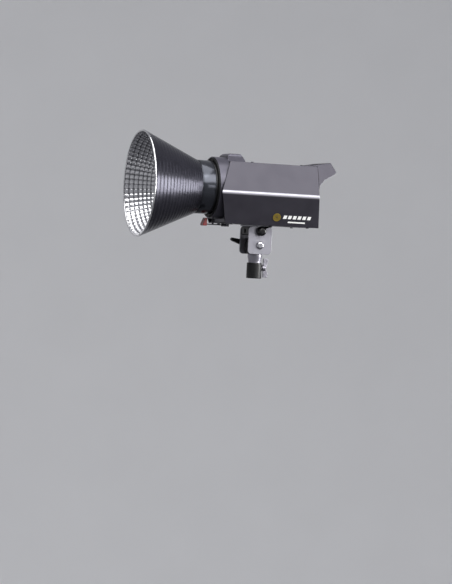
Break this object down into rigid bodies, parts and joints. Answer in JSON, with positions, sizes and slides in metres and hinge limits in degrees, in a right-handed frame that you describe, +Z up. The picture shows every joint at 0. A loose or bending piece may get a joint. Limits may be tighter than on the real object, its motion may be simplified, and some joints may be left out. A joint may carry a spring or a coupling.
{
  "type": "studio light head with cone reflector",
  "caption": "Studio LED light head with a bayonet cone reflector, rear carrying handle, fan cooling, rear controls and a tilting bracket that drops over a stand spigot.",
  "frame": {"origin": "centre of the mouth of the 16 mm stand spigot socket", "axes": "+Z up along the socket, the lamp shines towards -X, +Y is the lamp's right-hand side"},
  "size_m": [0.37, 0.196, 0.262],
  "materials": {
    "casing_paint": "satin dark grey powder paint",
    "bezel_paint": "satin grey paint on a casting",
    "mount_black": "satin black",
    "reflector_black": "satin graphite outside, polished silver inside",
    "bracket_silver": "brushed, light silver grey",
    "receiver_silver": "satin casting, worn bright",
    "bolt_chrome": "polished dome",
    "dark_steel": "blackened or plain steel",
    "aluminium_raw": "plain",
    "black_plastic": "fine moulded grain",
    "soft_rubber": "matt",
    "plate_white": "matt white",
    "chip_ceramic": "fired",
    "phosphor": "soft yellow gel",
    "clear_glass": "clear",
    "display_glass": "glossy black window",
    "board": "solder mask",
    "badge_gold": "satin gold",
    "mark_white": "printed",
    "release_red": "moulded red"
  },
  "bodies": {
    "receiver": {"spigot_receiver": "receiver_silver", "socket_sleeve": "black_plastic", "tilt_knuckle": "mount_black", "friction_washers": "black_plastic"},
    "head": {"tilt_bracket": "bracket_silver", "bracket_screws": "dark_steel", "umbrella_block": "black_plastic", "pivot_bolt": "bolt_chrome", "chassis_plate": "aluminium_raw", "front_bezel": "bezel_paint", "bezel_seal": "soft_rubber", "bayonet_ring": "mount_black", "bayonet_screws": "dark_steel", "front_plate": "plate_white", "led_chip": "chip_ceramic", "led_phosphor": "phosphor", "chip_holder": "plate_white", "cover_glass": "clear_glass", "glass_retainer": "aluminium_raw", "cold_plate": "aluminium_raw", "heat_pipes": "aluminium_raw", "fin_stack": "aluminium_raw", "fan_frame": "black_plastic", "left_side_cover": "casing_paint", "right_side_cover": "casing_paint", "top_cover": "casing_paint", "bottom_cover": "casing_paint", "case_screws": "dark_steel", "side_badges": "badge_gold", "side_marks": "mark_white", "carry_handle": "casing_paint", "grip_pad": "soft_rubber", "handle_screws": "dark_steel", "rear_frame": "black_plastic", "display_window": "display_glass", "display_module": "black_plastic", "control_board": "board", "power_inlet": "black_plastic", "driver_board": "board", "driver_parts": "board", "lever_hinge_pin": "dark_steel", "release_spring": "dark_steel"},
    "spigot_clamp": {"spigot_screw": "receiver_silver"},
    "umbrella_clamp": {"umbrella_knob": "black_plastic"},
    "tilt_clamp": {"tilt_lever": "black_plastic"},
    "release": {"release_lever": "dark_steel", "release_pad": "release_red", "lock_pin": "dark_steel"},
    "fan": {"fan_rotor": "black_plastic"},
    "intensity": {"intensity_dial": "black_plastic"},
    "select": {"select_dial": "black_plastic"},
    "menu": {"menu_button": "soft_rubber"},
    "mode": {"mode_button": "soft_rubber"},
    "preset": {"preset_button": "soft_rubber"},
    "rocker": {"power_switch": "black_plastic"},
    "reflector": {"reflector_shell": "reflector_black", "reflector_neck": "reflector_black", "reflector_collar": "mount_black", "collar_rivets": "dark_steel"}
  },
  "joints": [
    {"name": "head_tilt", "type": "hinge", "parent": "receiver", "child": "head", "pos_m": [0, 0, 0.062], "axis": [0, 1, 0], "range_deg": [-90, 90]},
    {"name": "spigot_screw_turn", "type": "hinge", "parent": "receiver", "child": "spigot_clamp", "pos_m": [0.02, 0, 0.02], "axis": [1, 0, 0], "range_deg": [0, 360]},
    {"name": "umbrella_knob_turn", "type": "hinge", "parent": "head", "child": "umbrella_clamp", "pos_m": [0, -0.03, 0.088], "axis": [0, -1, 0], "range_deg": [0, 360]},
    {"name": "tilt_lever_turn", "type": "hinge", "parent": "head", "child": "tilt_clamp", "pos_m": [0, 0.03, 0.062], "axis": [0, -1, 0], "range_deg": [-10, 100]},
    {"name": "release_press", "type": "hinge", "parent": "head", "child": "release", "pos_m": [-0.062, 0, 0.096], "axis": [0, -1, 0], "range_deg": [0, 7], "stiffness_Nm_per_rad": 1, "springref_deg": -5.73},
    {"name": "reflector_twist", "type": "hinge", "parent": "head", "child": "reflector", "pos_m": [-0.1, 0, 0.164], "axis": [1, 0, 0], "range_deg": [0, 30]},
    {"name": "fan_spin", "type": "hinge", "parent": "head", "child": "fan", "pos_m": [0.01, 0, 0.156], "axis": [1, 0, 0], "continuous": true},
    {"name": "intensity_turn", "type": "hinge", "parent": "head", "child": "intensity", "pos_m": [0.1, -0.024, 0.137], "axis": [1, 0, 0], "continuous": true},
    {"name": "select_turn", "type": "hinge", "parent": "head", "child": "select", "pos_m": [0.1, 0.024, 0.137], "axis": [1, 0, 0], "continuous": true},
    {"name": "menu_press", "type": "slide", "parent": "head", "child": "menu", "axis": [-1, 0, 0], "range_m": [0, 0.0012], "stiffness_N_per_m": 900, "springref_m": -0.001},
    {"name": "mode_press", "type": "slide", "parent": "head", "child": "mode", "axis": [-1, 0, 0], "range_m": [0, 0.0012], "stiffness_N_per_m": 900, "springref_m": -0.001},
    {"name": "preset_press", "type": "slide", "parent": "head", "child": "preset", "axis": [-1, 0, 0], "range_m": [0, 0.0012], "stiffness_N_per_m": 900, "springref_m": -0.001},
    {"name": "switch_rock", "type": "hinge", "parent": "head", "child": "rocker", "pos_m": [0.088, 0.022, 0.115], "axis": [0, 1, 0], "range_deg": [0, 16]}
  ]
}
